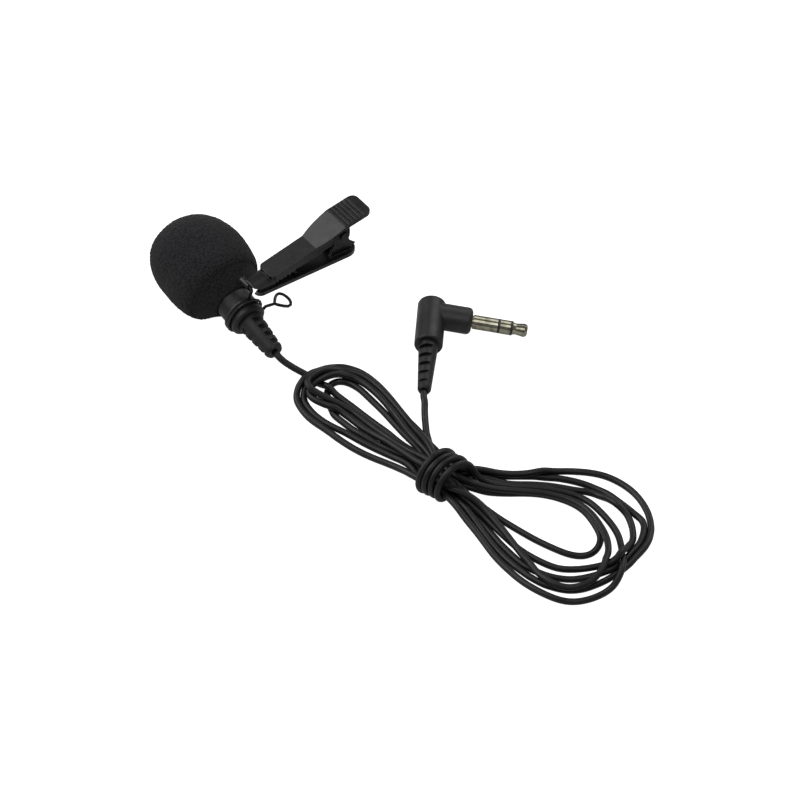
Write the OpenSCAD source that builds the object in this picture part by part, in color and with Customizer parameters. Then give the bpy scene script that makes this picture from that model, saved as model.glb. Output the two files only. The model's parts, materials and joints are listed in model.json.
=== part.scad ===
// Lapel microphone. An electret capsule sits in a slim two-part housing under a foam
// windscreen. A sprung clip hangs on a wire ring round the neck of the housing, and a
// thin cord, wound in a tied hank, ends in an angled 3.5 mm three-contact plug.
// +X runs from the neck to the thumb pads of the clip, +Y towards the front of the
// windscreen, +Z up. The origin lies on the table, under the middle of the housing,
// windscreen and clip.

/* [Windscreen] */
// Outer diameter of the foam
foam_d = 22.8; // [20:0.2:25]
// Length of the dome, from the widest section to the tip
foam_dome_len = 13.2; // [11:0.2:16]
// Length from the rear mouth to the widest section
foam_back_len = 12.1; // [10.5:0.1:14]
// Diameter of the rim round the sloping rear face
foam_rim_d = 18.8; // [16:0.2:19.4]
// Depth of the sloping rear face
foam_rim_len = 4.2; // [2.5:0.1:5.5]
// Bluntness of the dome, where 2 is an ellipse
foam_blunt = 2.4; // [2:0.1:3]
// Gap between the foam and the housing
foam_gap = 0.2; // [0.1:0.05:0.4]

/* [Housing] */
// Diameter of the neck and the sleeve
neck_d = 9; // [8.6:0.1:9.8]
// Wall of the neck shell and the sleeve
shell_wall = 0.7; // [0.5:0.05:0.85]
// Neck left bare between the wire ring and the foam
bare_len = 4.5; // [3.8:0.1:5.5]
// Neck behind the middle of the wire ring
tail_len = 2.6; // [2.2:0.1:3.5]
// Neck ahead of the middle of the wire ring
shell_len = 7; // [6:0.1:8]
// Length of the front sleeve
sleeve_len = 10; // [9.6:0.1:12]
// Length of the spigot that joins the neck shell to the sleeve
spigot_len = 2; // [1.2:0.1:2.4]
// Thickness of the neck's rear wall
tail_wall = 1; // [0.8:0.1:1.4]
// Depth of the groove that the wire ring turns in
groove_depth = 0.1; // [0.05:0.05:0.2]
// Radial clearance where one part of the housing slips into another
slip_gap = 0.03; // [0.02:0.01:0.05]
// Angle by which the tail points down when the microphone lies on its foam
dip_angle = 12.7; // [9:0.1:15]

/* [Capsule] */
// Diameter of the electret capsule
capsule_d = 6; // [5.6:0.1:6.2]
// Length of the electret capsule
capsule_len = 5; // [4.6:0.1:5.2]
// Wall of the capsule can
can_wall = 0.3; // [0.2:0.05:0.4]
// Diameter of the sound inlet in the can
inlet_d = 2; // [1:0.1:3]
// Thickness of the capsule's circuit board
board_t = 0.6; // [0.4:0.1:0.8]
// Thickness of the dust felt
felt_t = 0.4; // [0.3:0.1:0.6]
// Thickness of the grille plate
grille_t = 0.5; // [0.4:0.1:0.8]
// Depth of the grille's rim inside the sleeve
grille_rim_len = 1.2; // [0.8:0.1:1.6]
// Diameter of the grille holes
grille_hole_d = 0.8; // [0.5:0.1:1]
// Spacing of the grille holes
grille_pitch = 1.4; // [1.25:0.05:1.55]
// Diameter of the inner lead wires
lead_wire_d = 0.5; // [0.4:0.05:0.6]
// Spacing of the inner lead wires
lead_wire_pitch = 2; // [1.2:0.1:2.2]

/* [Cord] */
// Diameter of the cord
cord_d = 1.7; // [1.5:0.1:2]
// Length of the crimp on each end of the cord
crimp_len = 2; // [1.5:0.1:2.4]
// Wall of the crimp
crimp_wall = 0.3; // [0.2:0.05:0.4]

/* [Microphone strain relief] */
// Length of the strain relief behind the neck
relief_len = 10.7; // [9:0.1:12]
// Diameter at the neck
relief_root_d = 6.5; // [6:0.1:7]
// Diameter at the cord
relief_tip_d = 4.6; // [4.2:0.1:5]
// Number of notches on each side
relief_notches = 4; // [3:1:4]
// Length of each notch
relief_notch_len = 1.3; // [0.9:0.1:1.5]
// Thickness of the web between opposite notches
relief_web = 3; // [2.6:0.1:3.4]
// Diameter of the flange inside the neck
relief_flange_d = 6.4; // [6:0.1:6.8]
// Thickness of the flange inside the neck
relief_flange_t = 0.8; // [0.6:0.1:1]

/* [Wire ring] */
// Diameter of the spring wire
wire_d = 0.78; // [0.7:0.02:0.84]
// Clearance between the wire ring and the groove
ring_gap = 0.07; // [0.06:0.01:0.1]
// Angle of the coil round the neck
ring_sweep = 630; // [540:15:645]
// Angle at which the coil starts, measured from +X towards +Z
ring_start = 75; // [60:5:90]
// Height of the clip's pivot above the axis of the neck
pivot_rise = 9; // [8.8:0.1:10]
// Sideways place of the clip's pivot
pivot_x = 0.9; // [0.7:0.1:1.1]
// Place of the riser along the neck, behind the middle of the ring
riser_y = 1.94; // [1.7:0.02:2.1]
// Bend radius of the wire
wire_bend_r = 0.8; // [0.7:0.05:0.9]
// Distance from the neck's axis to the tip of the finger tab
tab_reach = 12.2; // [11.5:0.1:13]
// Length of the finger tab
tab_len = 3.9; // [3:0.1:4.2]
// Width of the finger tab
tab_w = 5.2; // [4.6:0.1:5.6]

/* [Clip base] */
// Length of the base plate, from the pivot to the thumb end
base_len = 29.9; // [29:0.1:31]
// Width of the base plate
base_w = 7; // [6.9:0.1:7.6]
// Thickness of the base plate
base_t = 0.9; // [0.8:0.05:1]
// Corner radius at the thumb end
base_end_r = 3.4; // [2.8:0.05:3.45]
// Corner radius at the nose
base_nose_r = 1.6; // [1:0.1:2]
// Outer diameter of the knuckle round the pivot wire
knuckle_d = 1.75; // [1.65:0.05:1.85]
// Running clearance of the pivot wire in the knuckle
knuckle_gap = 0.05; // [0.03:0.01:0.08]
// Place of the clip's centreline, behind the middle of the ring
clip_y = 1.4; // [1.3:0.05:1.5]
// Thickness of each hinge ear
ear_t = 0.8; // [0.6:0.05:0.9]
// Radius of each hinge ear
ear_r = 1.5; // [1.3:0.05:1.6]
// Length of each hinge ear along the plate
ear_len = 7; // [6:0.1:8]
// Number of grip ridges on the plate
ridge_count = 4; // [2:1:5]
// Height of the grip ridges
ridge_h = 0.4; // [0.3:0.05:0.5]

/* [Lever] */
// Width of the lever ahead of the hinge
lever_w = 5.8; // [5.4:0.1:6.2]
// Thickness of the lever sheet
lever_t = 0.7; // [0.6:0.05:0.75]
// Width of the thumb pad
pad_w = 8.1; // [7.4:0.1:8.8]
// Length of the thumb pad
pad_len = 8; // [7:0.1:9]
// Rise of the thumb pad over its length
pad_rise = 1.5; // [1:0.1:2]
// Corner radius of the thumb pad
pad_r = 1.8; // [1.2:0.1:2.4]
// Length of the slope between the front of the lever and the thumb pad
slope_len = 7.9; // [7:0.1:8.5]
// Rise of that slope
slope_rise = 3.45; // [3:0.05:3.8]
// Length of the straight part between the step and the slope
front_len = 12.9; // [12:0.1:13.6]
// Rise of the straight part
front_rise = 3.05; // [2.8:0.05:3.3]
// Length of the beak's foot, from the knuckle to the step
beak_len = 3.3; // [2.8:0.1:3.6]
// Overhang of the beak above the knuckle
beak_over = 1.5; // [1.2:0.1:1.6]
// Thickness of the overhang
beak_h = 0.65; // [0.5:0.05:0.8]
// Rise of the beak's top
beak_rise = 0.45; // [0.3:0.05:0.6]
// Radius of the crown across the beak
beak_crown_r = 5.5; // [4.5:0.1:8]
// Height of the step from the beak to the straight part
beak_step = 0.75; // [0.6:0.05:0.85]
// Gap between the beak and the base plate
beak_gap = 0.12; // [0.1:0.01:0.2]
// Corner radius of the beak
beak_r = 1.9; // [1.5:0.1:2.2]
// Corner radius of the straight part's front
step_r = 1.2; // [0.9:0.1:1.5]
// Number of teeth on each side of the lever
tooth_count = 6; // [4:1:7]
// Height of the teeth
tooth_h = 0.6; // [0.4:0.05:0.7]
// Number of ribs on the thumb pad
rib_count = 6; // [4:1:6]
// Height of the ribs
rib_h = 0.3; // [0.2:0.05:0.4]
// Width of each rib
rib_w = 0.4; // [0.3:0.05:0.5]

/* [Hinge] */
// Distance from the pivot to the hinge pin, along the clip
hinge_x = 25.5; // [25:0.1:26]
// Height of the hinge pin above the pivot
hinge_z = 5.7; // [5.5:0.1:5.9]
// Diameter of the hinge pin
pin_d = 1.6; // [1.4:0.05:1.7]
// Running clearance of the pin in the lever
pin_gap = 0.05; // [0.03:0.01:0.08]
// Diameter of the pin heads
pin_head_d = 2.3; // [2.1:0.1:2.6]
// Thickness of the pin heads
pin_head_t = 0.3; // [0.2:0.05:0.4]
// Radius of the lever's lugs round the pin
lug_r = 1.7; // [1.6:0.05:1.9]
// Side gap between the lever's lugs and the ears
side_gap = 0.15; // [0.1:0.05:0.2]
// Diameter of the spring wire
spring_wire_d = 0.5; // [0.4:0.02:0.52]
// Full turns of the spring
spring_turns = 3; // [2:1:3]

/* [Plug body] */
// Diameter of the plug body
body_d = 6.9; // [6.6:0.1:7.4]
// Length of the body from the jack's axis to the strain relief
body_len = 10.4; // [10:0.1:12]
// Length of the body past the jack's axis
body_end_len = 3.4; // [3.3:0.1:4]
// Diameter of the nose that holds the jack
nose_d = 6.55; // [6:0.05:6.6]
// Length of the nose, from the body's axis
nose_len = 9.9; // [9.4:0.1:10.6]
// Wall of the plug body
plug_wall = 0.9; // [0.7:0.05:1.1]
// Rounding of the plug body's ends
plug_round = 0.4; // [0.2:0.1:0.7]
// Rounding of the nose's end
nose_round = 1.1; // [0.9:0.1:1.3]
// Length of the plug's strain relief
plug_relief_len = 15.2; // [13:0.1:17]
// Diameter of the plug's strain relief at the body
plug_relief_root_d = 4.8; // [4.6:0.1:5.2]
// Diameter of the plug's strain relief at the cord
plug_relief_tip_d = 3.3; // [3:0.1:3.6]
// Number of notches on each side of the plug's strain relief
plug_notches = 5; // [4:1:5]
// Length of each notch
plug_notch_len = 1.2; // [0.8:0.1:1.4]
// Thickness of the web between opposite notches
plug_web = 2.4; // [2.2:0.1:2.8]

/* [Jack] */
// Diameter of the jack
jack_d = 3.5; // [3.4:0.05:3.6]
// Length of the jack outside the nose
jack_len = 13.5; // [13.2:0.1:14.2]
// Length of the sleeve contact
sleeve_contact_len = 6.2; // [5.8:0.1:6.4]
// Length of the ring contact
ring_contact_len = 2.5; // [2.2:0.1:2.8]
// Width of each insulating band
band_len = 0.6; // [0.4:0.05:0.7]
// Diameter of the tip's waist
waist_d = 2.7; // [2.5:0.1:2.9]
// Diameter of the tip's bulb
bulb_d = 3.3; // [3.1:0.05:3.4]
// Diameter of the rod that carries the tip
rod_d = 1; // [0.9:0.05:1.1]
// Wall of each inner tube of the jack
tube_wall = 0.2; // [0.15:0.01:0.22]
// Radial clearance between the inner tubes of the jack
jack_gap = 0.02; // [0.01:0.01:0.03]
// Diameter of the jack's flange inside the nose
jack_flange_d = 4.4; // [4.2:0.1:4.6]
// Thickness of the jack's flange
jack_flange_t = 1; // [0.8:0.1:1.2]
// Depth and width of the undercut at the jack's root
undercut = 0.3; // [0.2:0.05:0.35]
// Thickness of the solder tags
tag_t = 0.3; // [0.25:0.05:0.4]
// Width of the solder tags
tag_w = 1.4; // [1.2:0.1:1.6]
// Heading of the jack, measured from +X
plug_heading = -38; // [-42:1:-34]
// Angle by which the jack points down
jack_dip = 10; // [8:0.5:10]
// Angle by which the plug's strain relief points down
plug_pitch = 6; // [5:0.5:6]

/* [Hank] */
// Height of the cord loops where they lie on the table
loop_h = 4.5; // [3.5:0.5:6]
// Width of the band of strands in each loop
strand_band = 5.5; // [4:0.5:6]
// Diameter of the windings that tie the hank
tie_d = 12.8; // [11:0.2:14]
// Length of the windings
tie_len = 10.5; // [8:0.5:12]

/* [Hidden] */

$fn = 64;
fine_fn = 40;
overrun = 1;
black = [0.07, 0.07, 0.075];
soft_black = [0.1, 0.1, 0.105];
grey_black = [0.16, 0.16, 0.165];
steel = [0.72, 0.71, 0.68];

neck_r = neck_d / 2;
bore_r = neck_r - shell_wall;
sleeve_front = shell_len + sleeve_len;
foam_back = bare_len;
foam_mouth_r = neck_r + foam_gap;
foam_wide_at = foam_back + foam_back_len;
foam_tip = foam_wide_at + foam_dome_len;
groove_len = (ring_sweep / 360 + 1.3) * wire_d;
relief_end = -tail_len - relief_len;
cord_gap = slip_gap;

// Outline of the foam as pairs of radius and place along the axis.
foam_rear_profile = [for (a = [0:10:90])
    [foam_rim_d / 2 + (foam_d - foam_rim_d) / 2 * sin(a),
     foam_back + foam_rim_len + (foam_back_len - foam_rim_len) * (1 - cos(a))]];
foam_dome_profile = [for (a = [80:-8:0])
    [foam_d / 2 * pow(sin(a), 2 / foam_blunt),
     foam_wide_at + foam_dome_len * pow(cos(a), 2 / foam_blunt)]];

// The microphone's own axes are X across, -Y up and Z along its axis to the front.
function to_row(p) = [p.x, p.y * sin(dip_angle) + p.z * cos(dip_angle),
    p.z * sin(dip_angle) - p.y * cos(dip_angle)];

function turn_x(v, a) = [v.x, v.y * cos(a) - v.z * sin(a), v.y * sin(a) + v.z * cos(a)];
function turn_y(v, a) = [v.x * cos(a) + v.z * sin(a), v.y, v.z * cos(a) - v.x * sin(a)];
function turn_z(v, a) = [v.x * cos(a) - v.y * sin(a), v.x * sin(a) + v.y * cos(a), v.z];
function plug_to_row(v) = plug_at + turn_z(turn_y(turn_x(v, plug_pitch), jack_dip), plug_heading);

// The lowest, foremost and rearmost reach of the microphone about the middle of its ring.
foam_low = min([for (p = concat(foam_rear_profile, foam_dome_profile)) to_row([0, p[0], p[1]]).z]);
foam_fore = max([for (p = concat(foam_rear_profile, foam_dome_profile)) to_row([0, p[0], p[1]]).y]);
relief_aft = to_row([0, -relief_tip_d / 2, relief_end]).y;

// Key places along the clip, from its pivot.
knuckle_r = knuckle_d / 2;
plate_low = -knuckle_r;
plate_top = plate_low + base_t;
beak_x = knuckle_r + beak_gap;
beak_low = plate_top + beak_gap;
beak_under = knuckle_r + beak_gap;
beak_top = beak_under + beak_h;
beak_front = beak_x - beak_over;
step_x = beak_x + beak_len;
step_low = beak_top + beak_rise;
step_top = step_low + beak_step;
slope_x = step_x + front_len;
slope_z = step_top + front_rise;
pad_x = slope_x + slope_len;
pad_z = slope_z + slope_rise;
pad_end_x = pad_x + pad_len;
pad_end_z = pad_z + pad_rise;

// The middle of the wire ring in the row's frame.
neck_x = -(pivot_x + pad_end_x - foam_d / 2) / 2;
neck_y = -(foam_fore + relief_aft) / 2;
neck_z = -foam_low;
neck_at = [neck_x, neck_y, neck_z];
pivot_at = neck_at + [pivot_x, -clip_y, pivot_rise];

// Where the plug lies: the crossing of its body's and its jack's axes.
plug_at = [27.2, -31.4, 5.45];

// Where the cord leaves each strain relief: the mouth, then a point straight out of it.
straight_out = 2;
mic_exit = [for (d = [0, straight_out]) neck_at + to_row([0, 0, relief_end - d])];
plug_exit = [for (d = [0, straight_out]) plug_to_row([0, -body_len - plug_relief_len - d, 0])];

// Places in the hank.
hank_front = [-5.8, -40];
hank_front_r = 10.4;
hank_neck_front = [-6.5, -78.2];
hank_neck_w = 9;
hank_tie = [-5.5, -83.2];
hank_heading = -78.7;
hank_neck_rear = [-4.5, -88.2];
hank_rear = [11.5, -116];
hank_rear_r = 20.8;

// Cord routes on the table between the two strain reliefs and the hank.
mic_lead_route = [[-10.8, -24.9, 4.3], [-10, -27, 3.7], [-8.6, -29.5, 2.9], [-7.6, -31.6, 2.4]];
plug_lead_route = [[8.2, -55.2, 2.3], [6.5, -58, 1.8], [5, -60.5, 1.8], [3.6, -63, 2],
    [2.3, -65.5, 2.2], [1, -68, 2.4], [-0.5, -70.6, 2.6], [-2.2, -73.4, 2.8]];

// Vector helpers and a round tube swept along a route.
function unit(v) = v / norm(v);
function mix(a, b, t) = a + (b - a) * t;
function heading(route, i) = unit(route[min(i + 1, len(route) - 1)] - route[max(i - 1, 0)]);
function square_to(v, t) = unit(v - (v * t) * t);
function side_vectors(route, v, i = 0, done = []) = i == len(route) ? done :
    let (s = square_to(v, heading(route, i))) side_vectors(route, s, i + 1, concat(done, [s]));
function tube_points(route, r, sides, first_side) =
    let (across = side_vectors(route, first_side))
    [for (i = [0:len(route) - 1]) let (u = across[i], w = cross(heading(route, i), u))
        for (k = [0:sides - 1]) route[i] + r * (cos(360 * k / sides) * u + sin(360 * k / sides) * w)];
function tube_faces(rings, sides) = concat(
    [[for (k = [0:sides - 1]) k]],
    [for (i = [0:rings - 2], k = [0:sides - 1]) let (a = i * sides, b = a + sides, n = (k + 1) % sides)
        each [[a + k, b + k, a + n], [a + n, b + k, b + n]]],
    [[for (k = [sides - 1:-1:0]) (rings - 1) * sides + k]]);

module tube(route, d, first_side = [0, 0, 1], sides = 8) {
    polyhedron(tube_points(route, d / 2, sides, first_side), tube_faces(len(route), sides));
}

// Points along a round corner, and a plate outline with rounded ends.
function corner(centre, r, from, to, steps = 6) =
    [for (i = [0:steps]) centre + r * [cos(mix(from, to, i / steps)), sin(mix(from, to, i / steps))]];
function plate_outline(x0, x1, half_w, r0, r1) = concat(
    corner([x0 + r0, -half_w + r0], r0, 180, 270), corner([x1 - r1, -half_w + r1], r1, 270, 360),
    corner([x1 - r1, half_w - r1], r1, 0, 90), corner([x0 + r0, half_w - r0], r0, 90, 180));

module along_mic() { translate(neck_at) rotate([dip_angle - 90, 0, 0]) children(); }
module along_clip() { translate(pivot_at) children(); }
module along_plug() {
    translate(plug_at) rotate([0, 0, plug_heading]) rotate([0, jack_dip, 0]) rotate([plug_pitch, 0, 0])
        children();
}
// A side profile in X and Z, given a width along Y.
module across_clip(w) { rotate([90, 0, 0]) linear_extrude(w, center = true) children(); }
// A turned part, its profile being radius and place along the axis.
module turned(profile) { rotate_extrude($fn = fine_fn) polygon(profile); }
// A shaft or a tube between two places along Z.
module shaft(d, z0, z1) { translate([0, 0, z0]) cylinder(d = d, h = z1 - z0); }
module pipe(d, bore, z0, z1) {
    difference() { shaft(d, z0, z1); shaft(bore, z0 - overrun, z1 + overrun); }
}
// A tapered strain relief along -Z from z = 0, with notches on two opposite sides.
module notched_taper(root_d, tip_d, length, notches, notch_len, web, turn) {
    pitch = (length - notch_len) / notches;
    difference() {
        turned([[0, 0], [root_d / 2, 0], [tip_d / 2, notch_len / 2 - length],
            [tip_d / 2 - notch_len / 4, -length], [0, -length]]);
        for (i = [0:notches - 1], side = [0, 180])
            rotate([0, 0, turn + side])
                translate([web / 2, -root_d, -(i + 0.5) * pitch - notch_len])
                    cube([root_d, 2 * root_d, notch_len]);
    }
}

module foam_windscreen() {
    cavity_r = neck_r + foam_gap;
    cavity_end = sleeve_front + grille_t + foam_gap;
    color(soft_black) along_mic() difference() {
        turned(concat([[0, foam_back], [foam_mouth_r, foam_back]], foam_rear_profile,
            foam_dome_profile, [[0, foam_tip]]));
        shaft(2 * cavity_r, foam_back - overrun, cavity_end);
    }
}

module grille_cap() {
    color(grey_black) along_mic() difference() {
        union() {
            shaft(neck_d, sleeve_front, sleeve_front + grille_t);
            shaft(2 * (bore_r - slip_gap), sleeve_front - grille_rim_len, sleeve_front + grille_t / 2);
        }
        shaft(2 * (bore_r - slip_gap) - 2 * can_wall, sleeve_front - grille_rim_len - overrun, sleeve_front);
        for (ring = [0:2], i = [0:max(1, 6 * ring) - 1])
            rotate([0, 0, 360 * i / max(1, 6 * ring)]) translate([ring * grille_pitch, 0, 0])
                shaft(grille_hole_d, sleeve_front - overrun, sleeve_front + grille_t + overrun, $fn = 20);
    }
}

module front_sleeve() {
    color(black) along_mic() pipe(neck_d, 2 * bore_r, shell_len, sleeve_front);
}

capsule_front = sleeve_front - grille_rim_len - felt_t;
capsule_back = capsule_front - capsule_len;
boot_lip = 0.6;

module dust_felt() {
    color(grey_black) along_mic() shaft(2 * (bore_r - slip_gap), capsule_front, capsule_front + felt_t);
}

module capsule_can() {
    color(steel) along_mic() difference() {
        shaft(capsule_d, capsule_back, capsule_front);
        shaft(capsule_d - 2 * can_wall, capsule_back - overrun, capsule_front - can_wall);
        shaft(inlet_d, capsule_back, capsule_front + overrun);
    }
}

module capsule_board() {
    color([0.1, 0.3, 0.15]) along_mic()
        shaft(capsule_d - 2 * can_wall - 2 * slip_gap, capsule_back, capsule_back + board_t);
}

module capsule_boot() {
    color(black) along_mic() union() {
        pipe(2 * (bore_r - slip_gap), capsule_d + 2 * slip_gap, capsule_back, capsule_front);
        pipe(2 * (bore_r - slip_gap), capsule_d - 2 * boot_lip, capsule_back - boot_lip, capsule_back);
    }
}

mic_crimp_at = -tail_len + tail_wall + relief_flange_t;

module capsule_leads() {
    color("firebrick") along_mic() for (side = [-1, 1])
        translate([side * lead_wire_pitch / 2, 0, 0])
            shaft(lead_wire_d, mic_crimp_at + crimp_len, capsule_back, $fn = 20);
}

module mic_cord_crimp() {
    color(steel) along_mic() difference() {
        shaft(cord_d + 2 * cord_gap + 2 * crimp_wall + lead_wire_pitch, mic_crimp_at,
            mic_crimp_at + crimp_len);
        shaft(cord_d + 2 * cord_gap, mic_crimp_at - overrun, mic_crimp_at + crimp_len / 2);
    }
}

module mic_cord_core() {
    color(black) along_mic() shaft(cord_d, relief_end, mic_crimp_at + crimp_len / 2);
}

module neck_shell() {
    tail_hole_d = relief_root_d - 2 * boot_lip;
    color(black) along_mic() difference() {
        union() {
            turned([[0, -tail_len], [neck_r - tail_wall / 2, -tail_len], [neck_r, tail_wall / 2 - tail_len],
                [neck_r, -groove_len / 2], [neck_r - groove_depth, -groove_len / 2 + groove_depth],
                [neck_r - groove_depth, groove_len / 2 - groove_depth], [neck_r, groove_len / 2],
                [neck_r, shell_len], [0, shell_len]]);
            shaft(2 * (bore_r - slip_gap), shell_len - overrun, shell_len + spigot_len);
        }
        shaft(2 * (bore_r - slip_gap - shell_wall), tail_wall - tail_len, shell_len + spigot_len + overrun);
        shaft(tail_hole_d, -tail_len - overrun, 0);
    }
}

module mic_strain_relief() {
    tail_hole_d = relief_root_d - 2 * boot_lip;
    inner_d = min(relief_flange_d, 2 * (bore_r - slip_gap - shell_wall) - 2 * slip_gap);
    color(soft_black) along_mic() difference() {
        union() {
            translate([0, 0, -tail_len])
                notched_taper(relief_root_d, relief_tip_d, relief_len, relief_notches,
                    relief_notch_len, relief_web, -45);
            shaft(tail_hole_d - 2 * slip_gap, -tail_len - overrun / 2, tail_wall - tail_len);
            shaft(inner_d, tail_wall - tail_len, tail_wall - tail_len + relief_flange_t);
        }
        shaft(cord_d + 2 * cord_gap, relief_end - overrun, 0);
    }
}

// The coil, its riser to the clip's pivot, and the finger tab, about the ring's middle.
coil_r = neck_r - groove_depth + ring_gap + wire_d / 2;
coil_half = ring_sweep / 360 * wire_d * 1.04 / 2;
coil_step = 15;
function coil_point(a) = to_row([coil_r * cos(a), -coil_r * sin(a),
    mix(coil_half, -coil_half, (a - ring_start) / ring_sweep)]);
coil_route = [for (a = [ring_start:coil_step:ring_start + ring_sweep]) coil_point(a)];
riser_foot = [pivot_x, -riser_y, pivot_rise - wire_bend_r];
riser_route = [for (a = [90:-18:0])
    [pivot_x, -riser_y + wire_bend_r * (1 - cos(a)), pivot_rise - wire_bend_r * (1 - sin(a))]];
riser_links = [for (t = [0.8, 0.55, 0.3]) mix(coil_point(ring_start), riser_foot, t)];
coil_end = coil_point(ring_start + ring_sweep);
tab_root = [tab_reach - tab_len, coil_end.y * 2.2, 0];
function tab_point(f, side) = tab_root + [tab_len * f, side * tab_w / 2, 0];
tab_shape = [[0.2, 0.38], [0.4, 0.72], [0.6, 0.94], [0.8, 0.95], [0.94, 0.66], [1, 0.16], [0.98, -0.3],
    [0.9, -0.7], [0.75, -0.98], [0.55, -1.03], [0.34, -0.76], [0.13, -0.34], [0.04, -0.12]];
stem_bend = [coil_r + 1.1, mix(coil_end.y, tab_root.y, 0.3), 0.05];
tab_route = concat([mix(coil_end, stem_bend, 0.45) + [0, 0, 0.2], stem_bend,
    mix(stem_bend, tab_root, 0.5), tab_root], [for (p = tab_shape) tab_point(p[0], p[1])]);

module wire_ring() {
    pin_from = -riser_y + wire_bend_r - 0.1;
    pin_to = -clip_y + base_w / 2 + 0.3;
    color(black) translate(neck_at) union() {
        tube(concat(riser_route, riser_links, coil_route, tab_route), wire_d, [1, 0, 0]);
        translate([pivot_x, pin_from, pivot_rise]) rotate([-90, 0, 0])
            cylinder(d = wire_d, h = pin_to - pin_from);
    }
}

knuckle_from = clip_y - riser_y + wire_bend_r + 0.1;
ear_out = lever_w / 2 - lever_t - side_gap;

module hinge_ear(side) {
    translate([0, side * (ear_out - ear_t / 2), 0]) {
        across_clip(ear_t) polygon([[hinge_x - ear_len * 0.55, plate_low], [hinge_x - ear_r * 0.97, hinge_z],
            [hinge_x + ear_r * 0.97, hinge_z], [hinge_x + ear_len * 0.45, plate_low]]);
        translate([hinge_x, 0, hinge_z]) rotate([90, 0, 0]) cylinder(r = ear_r, h = ear_t, center = true);
    }
}

module clip_base() {
    slot_w = 2 * (wire_d / 2 + 0.3);
    ridge_pitch = 1.8;
    ridge_from = step_x + 2;
    color(black) along_clip() difference() {
        union() {
            translate([0, 0, plate_low]) linear_extrude(base_t)
                polygon(plate_outline(0, base_len, base_w / 2, base_nose_r, base_end_r));
            translate([0, knuckle_from, 0]) rotate([-90, 0, 0])
                cylinder(r = knuckle_r, h = base_w / 2 - knuckle_from);
            for (side = [-1, 1]) hinge_ear(side);
            for (i = [0:ridge_count - 1]) translate([ridge_from + i * ridge_pitch, 0, 0])
                across_clip(lever_w - 2 * lever_t - 4 * side_gap)
                    polygon([[0, plate_top - 0.1], [0.7, plate_top - 0.1], [0.35, plate_top + ridge_h]]);
        }
        translate([0, base_w / 2 + overrun, 0]) rotate([90, 0, 0])
            cylinder(d = wire_d + 2 * knuckle_gap, h = base_w + 2 * overrun);
        translate([-overrun, knuckle_from - slot_w - 0.75, plate_low - overrun])
            cube([overrun + 1.5, slot_w + 0.75, base_t + 3 * overrun]);
        translate([hinge_x, 0, hinge_z]) rotate([90, 0, 0])
            cylinder(d = pin_d + 2 * slip_gap, h = base_w, center = true);
    }
}

// The lever's top line as places along the clip and heights.
lever_top = [[step_x, step_top], [slope_x, slope_z], [pad_x, pad_z], [pad_end_x, pad_end_z]];
lever_drop = lever_t * 1.06;
tooth_from = [step_x + 0.5, beak_low + 0.25];
tooth_to = [step_x + 7.6, beak_low + 1.6];
tooth_line = [for (i = [0:tooth_count - 1]) let (p = mix(tooth_from, tooth_to, i / tooth_count),
    q = mix(tooth_from, tooth_to, (i + 0.5) / tooth_count)) each [p, q + [0, tooth_h]]];
skirt_profile = concat([[step_x, beak_low], [step_x, step_top],
    [slope_x, slope_z], [pad_x, pad_z], [hinge_x + lug_r, hinge_z + lug_r], [hinge_x + lug_r, hinge_z],
    [hinge_x, hinge_z], [hinge_x - 3.3, hinge_z - 0.95], [slope_x, slope_z - 2.6]],
    [for (i = [2 * tooth_count - 1:-1:0]) tooth_line[i]]);
beak_profile = concat([[beak_x, beak_low], [beak_x, beak_under], [beak_front + 0.3, beak_under]],
    [for (a = [210:-30:90]) [beak_front + 0.35 * (1 + cos(a)), beak_under + beak_h / 2 * (1 + sin(a))]],
    [[step_x + step_r, mix(beak_top, step_low, (step_x + step_r - beak_front) / (step_x - beak_front))],
     [step_x + step_r, beak_low + 0.3], [step_x, beak_low]]);

// The lever spreads from the straight part to the pad along an S-shaped side.
module lever_plan() {
    w0 = lever_w / 2;
    w1 = pad_w / 2;
    side = [for (t = [0:0.25:1]) [mix(slope_x, pad_x, t), mix(w0, w1, (1 - cos(180 * sqrt(t))) / 2)]];
    polygon(concat(
        corner([step_x + step_r, -w0 + step_r], step_r, 180, 270), [for (p = side) [p[0], -p[1]]],
        corner([pad_end_x - pad_r, -w1 + pad_r], pad_r, 270, 360),
        corner([pad_end_x - pad_r, w1 - pad_r], pad_r, 0, 90), [for (i = [4:-1:0]) side[i]],
        corner([step_x + step_r, w0 - step_r], step_r, 90, 180)));
}

// The beak is solid, crowned across, and reaches over the knuckle.
module lever_beak() {
    w0 = lever_w / 2;
    lean = atan2(step_low - beak_top, step_x - beak_front);
    intersection() {
        across_clip(lever_w) polygon(beak_profile);
        translate([0, 0, plate_low]) linear_extrude(4 * hinge_z)
            polygon(plate_outline(beak_front, step_x + step_r, w0, beak_r, 0.1));
        translate([beak_front, 0, beak_top - beak_crown_r]) rotate([0, 90 - lean, 0])
            cylinder(r = beak_crown_r, h = 4 * beak_len, center = true);
    }
}

module pad_ribs() {
    slope = atan2(pad_rise, pad_len);
    pitch = (pad_len - pad_r) / (rib_count - 0.4);
    translate([pad_x, 0, pad_z]) rotate([0, -slope, 0]) for (i = [0:rib_count - 1])
        translate([(i + 0.3) * pitch, 0, rib_h / 2 - 0.05])
            cube([rib_w, pad_w - 0.6, rib_h + 0.1], center = true);
}

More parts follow.
